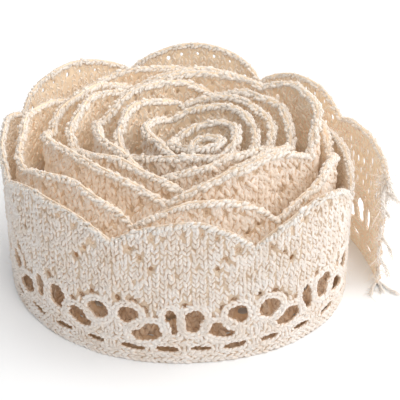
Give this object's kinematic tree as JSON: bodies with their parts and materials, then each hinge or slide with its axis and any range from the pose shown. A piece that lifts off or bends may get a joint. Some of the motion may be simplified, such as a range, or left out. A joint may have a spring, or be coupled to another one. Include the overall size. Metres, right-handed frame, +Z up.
{
  "type": "roll of lace trim",
  "caption": "Length of scalloped cotton lace trim wound loosely on its straight edge, with openwork along the foot and a frayed loose end.",
  "frame": {"origin": "middle of the footprint, on the surface the roll stands on", "axes": "+Z up, from the straight foot edge to the scallops; +X to the right, the side of the loose end; -Y towards the viewer"},
  "size_m": [0.082, 0.0786, 0.036],
  "materials": {
    "lace": "matte looped cotton",
    "yarn": "matte frayed cotton yarn"
  },
  "bodies": {
    "root": {"lace_roll": "lace", "loose_end": "lace", "frayed_end": "yarn"}
  },
  "joints": []
}
